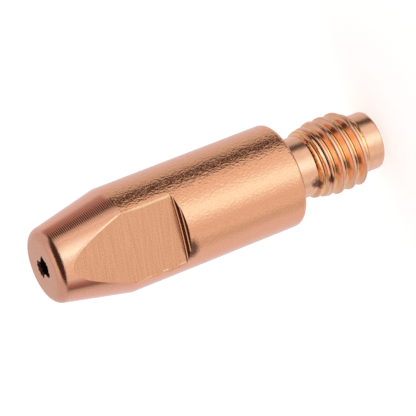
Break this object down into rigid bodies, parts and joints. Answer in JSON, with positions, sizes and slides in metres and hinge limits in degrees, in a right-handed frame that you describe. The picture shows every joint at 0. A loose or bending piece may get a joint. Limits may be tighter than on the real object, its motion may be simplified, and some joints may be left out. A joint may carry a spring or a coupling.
{
  "type": "welding contact tip",
  "caption": "Copper contact tip for a wire-feed welding torch: round body with a tapered nose and wrench flats, a threaded rear end and a bore that guides the wire.",
  "frame": {"origin": "centre of the flat rear end that the tip stands on", "axes": "+Z along the wire bore, from the threaded rear end to the nose; the wrench flats face -Y and +Y"},
  "size_m": [0.008, 0.008, 0.028],
  "materials": {
    "copper": null
  },
  "bodies": {
    "root": {"contact_tip": "copper"}
  },
  "joints": []
}
